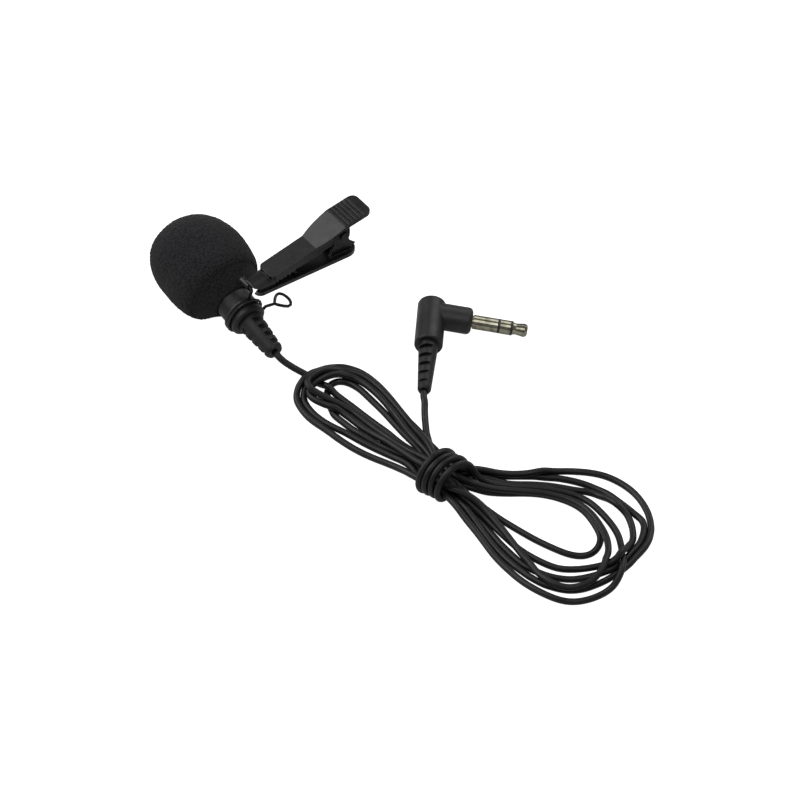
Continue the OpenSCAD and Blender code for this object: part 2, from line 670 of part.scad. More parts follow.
module clip_lever() {
    w0 = lever_w / 2;
    inner = w0 - lever_t;
    sheet = concat(lever_top, [for (i = [len(lever_top) - 1:-1:0]) lever_top[i] - [0, lever_drop]]);
    color(black) along_clip() difference() {
        union() {
            intersection() {
                across_clip(2 * pad_w) polygon(sheet);
                translate([0, 0, plate_low]) linear_extrude(4 * hinge_z) lever_plan();
            }
            intersection() {
                across_clip(2 * pad_w) polygon(skirt_profile);
                translate([0, 0, plate_low]) linear_extrude(4 * hinge_z) difference() {
                    polygon(plate_outline(step_x, pad_end_x, w0, step_r, 0.1));
                    polygon(plate_outline(step_x + lever_t, 2 * pad_end_x, inner, step_r - lever_t, 0.1));
                }
            }
            for (side = [-1, 1]) translate([hinge_x, side * (w0 - lever_t / 2), hinge_z]) rotate([90, 0, 0])
                cylinder(r = lug_r, h = lever_t, center = true);
            lever_beak();
            pad_ribs();
        }
        translate([hinge_x, 0, hinge_z]) rotate([90, 0, 0])
            cylinder(d = pin_d + 2 * pin_gap, h = pad_w, center = true);
    }
}

module hinge_pin() {
    half = lever_w / 2 + side_gap;
    color(black) along_clip() translate([hinge_x, 0, hinge_z]) rotate([90, 0, 0]) union() {
        shaft(pin_d, -half - pin_head_t / 2, half + pin_head_t / 2);
        shaft(pin_head_d, -half - pin_head_t, -half);
        shaft(pin_head_d, half, half + pin_head_t);
    }
}

// The spring's coil lies round the pin between the ears, its legs under the thumb ends.
spring_r = pin_d / 2 + spring_wire_d / 2 + 0.15;
spring_half_w = ear_out - ear_t - spring_wire_d / 2 - 0.1;
lower_foot = [hinge_x + 4.4, plate_top + spring_wire_d / 2 + 0.05];
upper_foot = [hinge_x + 5, mix(pad_z, pad_end_z, (hinge_x + 5 - pad_x) / pad_len)
    - lever_drop - spring_wire_d / 2 - 0.1];
function aim(foot) = atan2(foot[1] - hinge_z, foot[0] - hinge_x);
function lean(foot) = acos(spring_r / norm(foot - [hinge_x, hinge_z]));
spring_from = aim(lower_foot) - lean(lower_foot);
spring_to = aim(upper_foot) + lean(upper_foot) - 360 * (spring_turns + 1);
spring_steps = 12 * spring_turns;
spring_route = concat([[lower_foot[0], -spring_half_w, lower_foot[1]]],
    [for (i = [0:spring_steps]) let (a = mix(spring_from, spring_to, i / spring_steps))
        [hinge_x + spring_r * cos(a), mix(-spring_half_w, spring_half_w, i / spring_steps),
         hinge_z + spring_r * sin(a)]],
    [[upper_foot[0], spring_half_w, upper_foot[1]]]);

module torsion_spring() {
    color(black) along_clip() tube(spring_route, spring_wire_d, [0, 1, 0]);
}

// The plug's parts are drawn with the body along Y and the jack along +X.
module along_jack() { rotate([0, 90, 0]) children(); }
module along_body() { rotate([-90, 0, 0]) children(); }
shoulder = nose_len;
cavity_r = body_d / 2 - plug_wall;
nose_bore_r = jack_flange_d / 2 + slip_gap;
flange_back = shoulder - plug_wall - jack_flange_t;

module plug_body() {
    body_r = body_d / 2;
    color(grey_black) along_plug() difference() {
        union() {
            along_body() turned([[0, -body_len], [body_r - plug_round, -body_len],
                [body_r - plug_round * 0.3, plug_round * 0.3 - body_len], [body_r, plug_round - body_len],
                [body_r, body_end_len - plug_round],
                [body_r - plug_round * 0.3, body_end_len - plug_round * 0.3],
                [body_r - plug_round, body_end_len], [0, body_end_len]]);
            along_jack() turned(concat([[0, 0], [nose_d / 2, 0]],
                corner([nose_d / 2 - nose_round, shoulder - nose_round], nose_round, 0, 90),
                [[0, shoulder]]));
        }
        along_body() shaft(2 * cavity_r, plug_wall - body_len, body_end_len - plug_wall);
        along_jack() shaft(2 * nose_bore_r, 0, shoulder - plug_wall);
        along_jack() shaft(jack_d - 2 * undercut + 2 * slip_gap, 0, shoulder + overrun);
        along_body() shaft(plug_relief_root_d - 2 * boot_lip, -body_len - overrun, 0);
    }
}

module plug_strain_relief() {
    hole_d = plug_relief_root_d - 2 * boot_lip;
    color(grey_black) along_plug() along_body() difference() {
        union() {
            translate([0, 0, -body_len])
                notched_taper(plug_relief_root_d, plug_relief_tip_d, plug_relief_len, plug_notches,
                    plug_notch_len, plug_web, 60);
            shaft(hole_d - 2 * slip_gap, -body_len - overrun / 2, plug_wall - body_len);
            shaft(plug_relief_root_d, plug_wall - body_len, plug_wall - body_len + relief_flange_t);
        }
        shaft(cord_d + 2 * cord_gap, -body_len - plug_relief_len - overrun, 0);
    }
}

plug_crimp_at = plug_wall - body_len + relief_flange_t;

module plug_cord_core() {
    color(black) along_plug() along_body()
        shaft(cord_d, -body_len - plug_relief_len, plug_crimp_at + crimp_len / 2);
}

module plug_cord_crimp() {
    color(steel) along_plug() along_body() difference() {
        shaft(cord_d + 2 * cord_gap + 2 * crimp_wall + lead_wire_pitch, plug_crimp_at,
            plug_crimp_at + crimp_len);
        shaft(cord_d + 2 * cord_gap, plug_crimp_at - overrun, plug_crimp_at + crimp_len / 2);
    }
}

// The coaxial tubes of the jack, from the rod outwards, as diameters.
front_tube_in = rod_d + 2 * jack_gap;
front_tube_d = front_tube_in + 2 * tube_wall;
ring_tube_in = front_tube_d + 2 * jack_gap;
ring_tube_d = ring_tube_in + 2 * tube_wall;
rear_tube_in = ring_tube_d + 2 * jack_gap;
rear_tube_d = rear_tube_in + 2 * tube_wall;
sleeve_bore = rear_tube_d + 2 * jack_gap;
sleeve_end = shoulder + sleeve_contact_len;
ring_from = sleeve_end + band_len;
ring_end = ring_from + ring_contact_len;
tip_from = ring_end + band_len;
tip_end = shoulder + jack_len;
tail_step = 0.7;
tag_reach = nose_bore_r - 0.25;
sleeve_tail = flange_back;
rear_tail = sleeve_tail - tail_step;
ring_tail = rear_tail - tail_step;
front_tail = ring_tail - tail_step;
rod_tail = front_tail - tail_step;

module jack_sleeve() {
    color(steel) along_plug() along_jack() difference() {
        union() {
            shaft(jack_d - 2 * undercut, sleeve_tail, sleeve_end);
            shaft(jack_d, shoulder + undercut, sleeve_end);
            shaft(jack_flange_d, flange_back, flange_back + jack_flange_t);
        }
        shaft(sleeve_bore, sleeve_tail - overrun, sleeve_end + overrun);
    }
}

module jack_rear_insulator() {
    color(black) along_plug() along_jack() union() {
        pipe(rear_tube_d, rear_tube_in, rear_tail, sleeve_end);
        pipe(jack_d, rear_tube_in, sleeve_end, ring_from);
    }
}

module jack_ring() {
    color(steel) along_plug() along_jack() union() {
        pipe(ring_tube_d, ring_tube_in, ring_tail, ring_from);
        pipe(jack_d, ring_tube_in, ring_from, ring_end);
    }
}

module jack_front_insulator() {
    color(black) along_plug() along_jack() union() {
        pipe(front_tube_d, front_tube_in, front_tail, ring_end);
        pipe(jack_d, front_tube_in, ring_end, tip_from);
    }
}

module jack_tip() {
    tip_len = tip_end - tip_from;
    color(steel) along_plug() along_jack() union() {
        shaft(rod_d, rod_tail, tip_from);
        turned([[0, tip_from], [jack_d / 2 - 0.2, tip_from], [waist_d / 2, tip_from + tip_len * 0.22],
            [bulb_d / 2 - 0.12, tip_from + tip_len * 0.55], [bulb_d / 2, tip_from + tip_len * 0.8],
            [bulb_d / 2 - 0.25, tip_from + tip_len * 0.95], [bulb_d / 3, tip_end], [0, tip_end]]);
    }
}

// A solder tag is a washer on its tube with a tab towards the cord.
module solder_tag(tube_d, x, reach, turn) {
    along_jack() translate([0, 0, x]) rotate([0, 0, turn]) difference() {
        union() {
            shaft(tube_d + 2 * tag_t + 2 * slip_gap, 0, tag_t);
            translate([-tag_w / 2, 0, 0]) cube([tag_w, reach, tag_t]);
        }
        shaft(tube_d + 2 * slip_gap, -overrun, tag_t + overrun);
    }
}

module tip_tag() {
    color(steel) along_plug() mirror([0, 1, 0]) solder_tag(rod_d, front_tail - tag_t, tag_reach, 0);
}

module ring_tag() {
    color(steel) along_plug() mirror([0, 1, 0]) solder_tag(ring_tube_d, rear_tail - tag_t, tag_reach, 0);
}

module sleeve_tag() {
    color(steel) along_plug() mirror([0, 1, 0]) solder_tag(rear_tube_d, sleeve_tail - tag_t, tag_reach, 180);
}

// Each lead runs along the body, then turns into the nose and ends on its tag.
module plug_lead(x, y, tag_x) {
    along_body() translate([x, 0, 0]) shaft(lead_wire_d, plug_crimp_at + crimp_len, y, $fn = 20);
    translate([0, y, 0]) along_jack() shaft(lead_wire_d, x, tag_x, $fn = 20);
    translate([x, y, 0]) sphere(d = lead_wire_d, $fn = 20);
}

module plug_leads() {
    lead_off = rear_tube_d / 2 + lead_wire_d / 2 + 0.15;
    color("firebrick") along_plug() {
        plug_lead(lead_wire_pitch / 2, -lead_off, front_tail - tag_t);
        plug_lead(-lead_wire_pitch / 2, lead_off, sleeve_tail - tag_t);
    }
}

// One loop of the hank: an outline from its neck round a far circle, with an open middle.
function loop_outline(p, c, r, w) =
    let (aim = atan2(c.y - p.y, c.x - p.x))
    concat([for (side = [90, -90]) p + w / 2 * [cos(aim + side), sin(aim + side)]],
        [for (t = [-90:10:90]) c + r * [cos(aim + t), sin(aim + t)]]);

module hank_loop(p, c, r, w) {
    linear_extrude(loop_h) difference() {
        polygon(loop_outline(p, c, r, w));
        polygon(loop_outline(mix(p, c, 0.45), c, r - strand_band, cord_d / 2));
    }
}

module cord_front_loop() { color(black) hank_loop(hank_neck_front, hank_front, hank_front_r, hank_neck_w); }

module cord_rear_loop() { color(black) hank_loop(hank_neck_rear, hank_rear, hank_rear_r, hank_neck_w); }

module cord_tie() {
    color(black) translate([hank_tie.x, hank_tie.y, tie_d / 2]) rotate([0, 0, hank_heading])
        rotate([0, 90, 0]) cylinder(d = tie_d, h = tie_len, center = true);
}

module cord_mic_lead() { color(black) tube(concat(mic_exit, mic_lead_route), cord_d); }

module cord_plug_lead() { color(black) tube(concat(plug_exit, plug_lead_route), cord_d); }

foam_windscreen();
grille_cap();
front_sleeve();
dust_felt();
capsule_can();
capsule_board();
capsule_boot();
capsule_leads();
neck_shell();
mic_cord_crimp();
mic_cord_core();
mic_strain_relief();
wire_ring();
clip_base();
clip_lever();
hinge_pin();
torsion_spring();
plug_body();
plug_strain_relief();
plug_cord_core();
plug_cord_crimp();
plug_leads();
tip_tag();
ring_tag();
sleeve_tag();
jack_sleeve();
jack_rear_insulator();
jack_ring();
jack_front_insulator();
jack_tip();
cord_mic_lead();
cord_front_loop();
cord_tie();
cord_rear_loop();
cord_plug_lead();
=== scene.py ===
"""The looks of the lapel microphone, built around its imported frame.

Lengths are in millimetres in the row frame, and MM turns them into Blender's metres.
"""

import json
import math

import bpy
import numpy as np
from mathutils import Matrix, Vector, noise


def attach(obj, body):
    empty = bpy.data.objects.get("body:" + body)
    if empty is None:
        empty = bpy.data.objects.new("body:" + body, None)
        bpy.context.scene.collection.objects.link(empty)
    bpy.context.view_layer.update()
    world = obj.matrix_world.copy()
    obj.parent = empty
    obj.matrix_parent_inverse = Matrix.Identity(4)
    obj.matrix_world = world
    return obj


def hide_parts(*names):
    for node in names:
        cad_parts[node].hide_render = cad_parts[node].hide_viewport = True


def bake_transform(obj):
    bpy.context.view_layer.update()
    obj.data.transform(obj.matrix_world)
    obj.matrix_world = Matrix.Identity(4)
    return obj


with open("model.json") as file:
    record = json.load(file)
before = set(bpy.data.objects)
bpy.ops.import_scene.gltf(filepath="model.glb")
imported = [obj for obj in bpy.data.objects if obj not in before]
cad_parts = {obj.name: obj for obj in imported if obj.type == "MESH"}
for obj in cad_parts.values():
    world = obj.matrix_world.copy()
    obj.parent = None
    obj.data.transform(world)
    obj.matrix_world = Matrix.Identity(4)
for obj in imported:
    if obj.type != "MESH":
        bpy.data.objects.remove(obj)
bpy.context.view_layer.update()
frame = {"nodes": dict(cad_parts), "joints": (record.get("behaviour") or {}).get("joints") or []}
MM = 0.001
JOINTS = {joint["name"]: joint for joint in frame["joints"]}

# ---------------------------------------------------------------- places taken from the frame
RING_CENTRE = np.array(JOINTS["ring_turn"]["pos_m"]) / MM
MIC_AXIS = -np.array(JOINTS["ring_turn"]["axis"], float)
MIC_ACROSS = np.array([1.0, 0.0, 0.0])
MIC_UP = np.cross(MIC_ACROSS, MIC_AXIS)

# ---------------------------------------------------------------- camera
PHOTO_SIDE = 800
MM_PER_PIXEL = 0.24
AZIMUTH, ELEVATION = math.radians(-35.2), math.radians(40)
RING_PIXEL = (244, 314.5)
CAMERA_DISTANCE = 900

VIEW_RIGHT = np.array([math.cos(AZIMUTH), math.sin(AZIMUTH), 0])
VIEW_BACK = np.array([
    math.sin(AZIMUTH) * math.cos(ELEVATION),
    -math.cos(AZIMUTH) * math.cos(ELEVATION),
    math.sin(ELEVATION)])
VIEW_UP = np.cross(VIEW_BACK, VIEW_RIGHT)


def placed(name, data):
    """A new object in the scene with that mesh, lamp or camera."""
    made = bpy.data.objects.new(name, data)
    bpy.context.scene.collection.objects.link(made)
    return made


def make_camera():
    """A parallel view from the photograph's side, with the wire ring at its place in the picture."""
    rightward = (PHOTO_SIDE / 2 - RING_PIXEL[0]) * MM_PER_PIXEL
    upward = (RING_PIXEL[1] - PHOTO_SIDE / 2) * MM_PER_PIXEL
    aim = RING_CENTRE + rightward * VIEW_RIGHT + upward * VIEW_UP
    lens = bpy.data.cameras.new("camera")
    lens.type = "ORTHO"
    lens.ortho_scale = PHOTO_SIDE * MM_PER_PIXEL * MM
    camera = placed("camera", lens)
    camera.location = (aim + CAMERA_DISTANCE * VIEW_BACK) * MM
    camera.rotation_euler = Vector(-VIEW_BACK).to_track_quat("-Z", "Y").to_euler()
    bpy.context.scene.camera = camera


# ---------------------------------------------------------------- the cord's route
CORD_D = 1.7

# Where the cord leaves each strain relief, which way, and how far it goes on straight.
MIC_EXIT = np.array([-11.2975, -20.9896, 5.2076])
MIC_OUT = -MIC_AXIS
PLUG_EXIT = np.array([11.1592, -51.1765, 2.8147])
PLUG_OUT = np.array([-0.62659, -0.77252, -0.10294])
STRAIGHT_OUT = 2.2

# The two leads, each from its strain relief to the tie.
MIC_LEAD = [
    (-10.5, -26, 4.2), (-9.5, -28, 3.6), (-8, -30, 2.8), (-7, -32.5, 2.2), (-6.4, -35.6, 1.6),
    (-5.6, -40.4, 1.2), (-4.8, -45.7, 1), (-4.3, -52.2, 1), (-3.8, -57.7, 1.2), (-4, -62.8, 1.8),
    (-3.8, -67.8, 2.6), (-4, -72, 3.6)]
PLUG_LEAD = [
    (10.2, -52.9, 2.4), (8.8, -54.8, 2.1), (7.3, -56.9, 1.8), (5.1, -60.4, 1.5), (3, -64.1, 1.3),
    (1.1, -68.1, 1.2), (-0.8, -72.1, 1.1)]

# The loops in front of the tie, from the tie along the side near the plug, round the far end and back.
FRONT_LOOPS = [
    [(-2, -69.5, 2.6), (-1, -62, 1.6), (-0.5, -55, 1), (0, -46, 0.8), (-0.5, -36, 0.8), (-4, -34, 0.8),
     (-7.9, -38.4, 0.8), (-10.4, -45, 0.8), (-10.3, -49.4, 1.2), (-10.4, -53.9, 2.2), (-8.4, -62.3, 2.4),
     (-7, -66.4, 2.8), (-6.5, -71.5, 3.6)],
    [(-2, -71, 6), (-0.3, -63.2, 5), (0.9, -56.2, 4), (2.4, -45.8, 3.2), (2, -37.5, 2.8), (-1.5, -33, 2.8),
     (-4.5, -32.5, 3.8), (-8.5, -33.8, 5.4), (-11.3, -34.2, 5.2), (-12.2, -37, 4.9), (-10.8, -41.4, 4.6),
     (-8.2, -47.4, 4), (-7.2, -56, 3.8), (-6.4, -66.2, 4.4), (-5.5, -74.5, 5.6)],
    [(-2, -70.5, 4.6), (-1, -62, 3.6), (0.6, -55.9, 3), (1.6, -50.4, 2.6), (1.7, -41.4, 2.4),
     (0, -35.5, 2.4), (-2, -34, 3), (-8.5, -33.6, 3.5), (-11.2, -34.6, 3.2), (-12.1, -37.6, 3),
     (-11, -40.8, 2.8), (-9.3, -45, 2.4), (-8.5, -55, 2.6), (-7.5, -60, 2.8), (-6.5, -70.5, 4.2)],
    [(-1, -69.5, 3.2), (0, -62, 2.4), (1, -55.5, 1.8), (2.5, -45, 1.2), (2.5, -36, 1), (-0.5, -32, 1.4),
     (-8, -33.5, 4.6), (-10.5, -34, 4.6), (-13, -35, 1.4), (-14.5, -41.5, 0.8), (-13, -49, 1.4),
     (-10.5, -57.5, 1.2), (-8.5, -67, 2.2), (-7.5, -72.5, 3.2)],
    [(-0.5, -70, 4.2), (1, -62, 3.2), (1.5, -56, 2.6), (3, -50, 2.2), (4, -40, 1.6), (0.5, -30.5, 1.2),
     (-7.5, -32.5, 4.2), (-11, -33, 4.6), (-14, -33.5, 1.6), (-15.5, -40, 0.8), (-15, -48, 0.8),
     (-13.5, -58, 0.8), (-10.5, -68, 1.8), (-9.5, -73, 2.6)],
]

# The loops behind the tie, from the tie along their upper side, round the far end and back.
REAR_LOOPS = [
    [(-2, -87, 4.6), (1, -90, 3), (5.3, -92.5, 2), (13.1, -97.6, 1), (17.9, -106, 0.8), (16.6, -115.8, 0.8),
     (15, -119.2, 0.8), (10.1, -122.1, 0.8), (7, -120.7, 0.8), (2.8, -111.5, 0.8), (1.1, -105.3, 0.8),
     (-0.5, -99.5, 1.4), (-2, -94, 2.4), (-5, -88, 5)],
    [(-2, -88, 6.4), (1, -91, 5), (5, -93.5, 4), (13, -100, 3.2), (16.5, -108.5, 4), (15.5, -119, 4.6),
     (11.5, -127.5, 4.6), (5, -132.5, 4.2), (1.5, -132.5, 3), (-2, -131.5, 2.6), (-4.5, -128.5, 2.6),
     (-5.5, -123.5, 2.8), (-5, -116, 3), (-4, -107.5, 3.4), (-3.5, -101, 4), (-3.5, -95, 5),
     (-5, -91, 6.2)],
    [(0.5, -84.5, 5), (8, -90.5, 2.2), (12.5, -93, 1.6), (19, -99, 1), (24, -105.5, 1.2), (24, -112.5, 3.6),
     (25, -116, 2), (21.5, -123.5, 1.2), (17, -127, 2.6), (12.5, -130, 4), (9, -129.5, 3.4),
     (6, -127.5, 2.4), (2.5, -125.5, 2.2), (0, -122, 1.4), (-3, -112, 1), (-3.5, -105.5, 1.8),
     (-4, -98.5, 2.6), (-5, -89, 5)],
    [(1, -85, 6), (5, -87, 4), (14.5, -91, 1.8), (20.5, -95.5, 1), (23.5, -99.5, 0.8), (25.5, -104.5, 1.2),
     (26, -111, 2.2), (27, -119.5, 1.2), (24.5, -124, 2), (21.5, -127, 1.8), (17.5, -128, 1.4),
     (12.5, -130.5, 2.6), (7.5, -131, 2.6), (-0.4, -126.8, 1.2), (-5.2, -117.6, 0.8), (-5.8, -110.2, 1.2),
     (-5.8, -102.2, 2), (-5.4, -95.2, 3), (-5.4, -90.2, 4.6)],
    [(0.5, -84.5, 7), (9, -88.5, 3.6), (13.5, -90.5, 2.8), (21.7, -93.7, 1.8), (28.5, -98.5, 1),
     (31.1, -104, 0.8), (31.7, -111, 0.8), (28.5, -121, 0.8), (22, -127, 0.8), (17, -129.5, 0.8),
     (8.5, -132, 0.8), (-1, -131, 0.8), (-4.4, -127.2, 0.8), (-6.6, -121.7, 0.8), (-7.5, -114.8, 0.8),
     (-7.6, -107.4, 1.3), (-6.8, -99.5, 2.4), (-6.4, -92.6, 4)],
    [(2.8, -89.2, 4.6), (6.5, -92, 3.6), (14.5, -98, 2.8), (19.5, -106, 2.6), (20, -110.5, 2.6),
     (19, -120.5, 2.2), (17, -125, 1.8), (13, -131.5, 3.6), (10.5, -134, 3), (8, -135, 1.2),
     (3.5, -136, 0.8), (-4.2, -133.8, 0.8), (-8.4, -125, 0.8), (-9.6, -117.3, 0.9), (-9.6, -109.8, 1.4),
     (-8.6, -102.3, 2.2), (-8.2, -95.2, 3), (-7.6, -90, 4)],
]

# The tie: its middle, its direction towards the rear loops, and the bundle's places inside it, each an
# angle about the middle and a distance from it.
TIE = np.array([-5.5, -83.2, 6.2])
TIE_ALONG = np.array([0.196, -0.9806, 0])
TIE_ACROSS = np.array([0.9806, 0.196, 0])
TIE_UP = np.array([0, 0, 1])
TIE_HALF = 1.5
REARWARD_PLACES = [(300, 1.8), (180, 1.8), (0, 0), (240, 1.8), (255, 3.5), (225, 3.5)]
FORWARD_PLACES = [(285, 3.5), (0, 1.8), (315, 3.5), (345, 3.5), (15, 3.5)]

# The windings, whose radius swells and shrinks by the lump. They begin behind the tie's middle and run
# forwards past it, both counted in WINDING_HALF, a little faster at first.
WINDING_R = 5.55
WINDING_TURNS = 3.85
WINDING_HALF = 4.4
WINDING_BEGINS, WINDING_RUNS = 1.1, 2.1
WINDING_HASTE = 0.94
WINDING_LUMP = 0.3
LUMPS_A_TURN = 1.7
POINTS_A_TURN = 14


def in_tie(angle, radius, along):
    """A point by its angle about the tie's middle line, its distance from it and its place along it."""
    turned = math.radians(angle)
    return (TIE + along * TIE_ALONG + radius * math.cos(turned) * TIE_ACROSS
            + radius * math.sin(turned) * TIE_UP)


def through_tie(place, ends):
    """A strand's points inside the tie, at one place of the bundle."""
    return [in_tie(*place, along) for along in ends]


def windings():
    """The last rear loop's end, wound round the bundle from the rear of the tie to its front."""
    count = round(WINDING_TURNS * POINTS_A_TURN)
    for i in range(count + 1):
        share = i / count
        angle = 360 * WINDING_TURNS * share
        lump = WINDING_LUMP * math.sin(math.radians(LUMPS_A_TURN * angle))
        along = WINDING_HALF * (WINDING_BEGINS - WINDING_RUNS * share ** WINDING_HASTE)
        yield in_tie(angle, WINDING_R + lump, along)


def drawn_route():
    """The whole run: out of the neck, loop after loop, round the bundle and into the plug."""
    points = [MIC_EXIT, MIC_EXIT + STRAIGHT_OUT * MIC_OUT, *MIC_LEAD]
    for k, rear in enumerate(REAR_LOOPS):
        points += through_tie(REARWARD_PLACES[k], (-TIE_HALF, TIE_HALF))
        points += rear[::-1]
        if k < len(FRONT_LOOPS):
            points += through_tie(FORWARD_PLACES[k], (TIE_HALF, -TIE_HALF))
            points += FRONT_LOOPS[k]
    points += list(windings())
    points += PLUG_LEAD[::-1]
    points += [PLUG_EXIT + STRAIGHT_OUT * PLUG_OUT, PLUG_EXIT]
    return np.array(points, float)


# ---------------------------------------------------------------- how the cord settles
STEP = 1.15
CUTS = 24
TOUCHING = CORD_D + 0.05
FLOOR_GAP = 0.02
TIGHTEST_R = 3.6
CORD_SIDES = 14

# The rounds of settling: how far the cord sinks in each, also in the last quarter of them, what share of
# its way back to the drawn route it takes, how often and how far it looks for neighbours, and how many
# points at each end stay still.
ROUNDS = 360
LATE_AFTER = 0.75
SINKING, LATE_SINKING = 0.05, 0.02
RETURN = 0.25
RETURN_IN_TIE, TIE_REACH = 0.1, 9
SEARCH_EVERY = 8
SEARCH_REACH = 1.6
HELD_ENDS = 3

# How firmly each bend is held, by its reach in steps, after the drawn bends are smoothed.
BEND_HOLDS = {1: 0.3, 2: 0.2, 4: 0.12}
BEND_SMOOTHING = 6

# The passes in each round, and what share of a fault a pass mends: wrong length, too tight a bend, strands
# in each other, strands side by side with a gap. Where strands crowd, each moves less.
PASSES = 5
STRETCH_MENDING = 0.4
EASING = 0.1
EASED_REACHES = (1, 2, 3)
PARTING = 0.5
GATHERING, GATHER_REACH = 0.02, 0.5
SIDE_BY_SIDE = 0.92
CROWDING = 0.6

# The least gap and the least length that anything is divided by.
LEAST_GAP = 1e-3
LEAST_LENGTH = 1e-9


def spaced(points, step):
    """The same line with points about step apart."""
    lengths = np.linalg.norm(np.diff(points, axis=0), axis=1)
    along = np.concatenate([[0], np.cumsum(lengths)])
    at = np.linspace(0, along[-1], round(along[-1] / step) + 1)
    return np.stack([np.interp(at, along, points[:, k]) for k in range(3)], axis=1)


def between(low, high, start, end, t):
    """The straight mix that is low at start and high at end."""
    return ((end - t) * low + (t - start) * high) / (end - start)


def curve_through(points, step):
    """A centripetal Catmull-Rom curve through the points, as an evenly spaced line."""
    held = np.vstack([2 * points[0] - points[1], points, 2 * points[-1] - points[-2]])
    pieces = []
    for i in range(len(points) - 1):
        four = held[i:i + 4]
        gaps = np.sqrt(np.linalg.norm(np.diff(four, axis=0), axis=1))
        k = np.concatenate([[0], np.cumsum(gaps)])
        t = np.linspace(k[1], k[2], CUTS, endpoint=False)[:, None]
        pairs = [between(four[j], four[j + 1], k[j], k[j + 1], t) for j in range(3)]
        triples = [between(pairs[j], pairs[j + 1], k[j], k[j + 2], t) for j in range(2)]
        pieces.append(between(*triples, k[1], k[2], t))
    return spaced(np.vstack(pieces + [points[-1:]]), step)


def rolled(values, times):
    """The values smoothed along the line, ends kept."""
    for _ in range(times):
        middle = (values[:-2] + 2 * values[1:-1] + values[2:]) / 4
        values = np.vstack([values[:1], middle, values[-1:]])
    return values


def bow(line, reach):
    """From each point to the middle of the chord between its neighbours."""
    return (line[:-2 * reach] + line[2 * reach:]) / 2 - line[reach:-reach]


def limited(vectors, most):
    """The vectors, none longer than most."""
    sizes = np.linalg.norm(vectors, axis=1)
    return vectors * (np.minimum(sizes, most) / np.maximum(sizes, LEAST_LENGTH))[:, None]


def directions(line):
    """The line's direction at each of its points."""
    ways = np.gradient(line, axis=0)
    return ways / np.linalg.norm(ways, axis=1)[:, None]


def most_bow(reach):
    """The bow of the tightest bend that the cord takes."""
    return (reach * STEP) ** 2 / (2 * TIGHTEST_R)


def neighbours(line):
    """Pairs of the line's points that are near each other but well apart along it."""
    apart = math.ceil(2 * CORD_D / STEP)
    single = line.astype(np.float32)
    gaps = ((single[:, None] - single[None]) ** 2).sum(-1)
    return np.nonzero(np.triu(gaps < (TOUCHING + SEARCH_REACH) ** 2, apart))


def own_mending(line, length):
    """Shifts that bring the links to their length and open bends that are too tight."""
    shift = np.zeros_like(line)
    link = np.diff(line, axis=0)
    size = np.linalg.norm(link, axis=1)
    pull = (STRETCH_MENDING * (size - length) / size)[:, None] * link
    shift[:-1] += pull
    shift[1:] -= pull
    for reach in EASED_REACHES:
        curl = bow(line, reach)
        ease = EASING * (curl - limited(curl, most_bow(reach)))
        shift[reach:-reach] += 2 * ease
        shift[:-2 * reach] -= ease
        shift[2 * reach:] -= ease
    return shift


def mutual_mending(line, first, second):
    """Shifts that part strands that are in each other and gather those that lie side by side."""
    link = line[second] - line[first]
    size = np.linalg.norm(link, axis=1)
    ways = directions(line)
    beside = np.abs((ways[first] * ways[second]).sum(1)) > SIDE_BY_SIDE
    hit = (size < TOUCHING) | (beside & (size < TOUCHING + GATHER_REACH))
    lack = TOUCHING - size[hit]
    lack = np.where(lack > 0, PARTING * lack, GATHERING * lack)
    push = (lack / np.maximum(size[hit], LEAST_GAP))[:, None] * link[hit]
    shift, touched = np.zeros_like(line), np.zeros(len(line))
    np.add.at(shift, first[hit], -push)
    np.add.at(shift, second[hit], push)
    np.add.at(touched, first[hit], 1)
    np.add.at(touched, second[hit], 1)
    return shift / np.maximum(touched, 1)[:, None] ** CROWDING


def settled(drawn):
    """The cord at rest: it comes down on the table and on itself, keeps its length and the bends that it
    has taken, and is drawn back to where the route shows it, as seen from the camera."""
    line = drawn.copy()
    free = np.ones(len(line), bool)
    free[:HELD_ENDS] = free[-HELD_ENDS:] = False
    length = np.linalg.norm(np.diff(drawn, axis=0), axis=1).mean()
    rest = {reach: limited(rolled(bow(drawn, reach), BEND_SMOOTHING), most_bow(reach))
            for reach in BEND_HOLDS}
    in_reach = np.linalg.norm(drawn - TIE, axis=1) < TIE_REACH
    back = RETURN * np.where(in_reach, RETURN_IN_TIE, 1)[free, None]
    for turn in range(ROUNDS):
        if turn % SEARCH_EVERY == 0:
            first, second = neighbours(line)
        line[free, 2] -= LATE_SINKING if turn > LATE_AFTER * ROUNDS else SINKING
        aside = drawn - line
        aside -= (aside @ VIEW_BACK)[:, None] * VIEW_BACK
        line[free] += back * aside[free]
        for reach, hold in BEND_HOLDS.items():
            shift = np.zeros_like(line)
            shift[reach:-reach] = hold * (bow(line, reach) - rest[reach])
            line[free] += shift[free]
        for _ in range(PASSES):
            line[free] += own_mending(line, length)[free]
            line[free] += mutual_mending(line, first, second)[free]
            line[:, 2] = np.maximum(line[:, 2], CORD_D / 2 + FLOOR_GAP)
    return line


def smooth_run(line):
    """The line as a cubic B-spline with two points to each of its steps."""
    held = np.vstack([2 * line[0] - line[1], line, 2 * line[-1] - line[-2]])
    run = np.empty((2 * len(line) - 1, 3))
    run[::2] = (held[:-2] + 4 * held[1:-1] + held[2:]) / 6
    run[1::2] = (held[:-3] + 23 * held[1:-2] + 23 * held[2:-1] + held[3:]) / 48
    return run


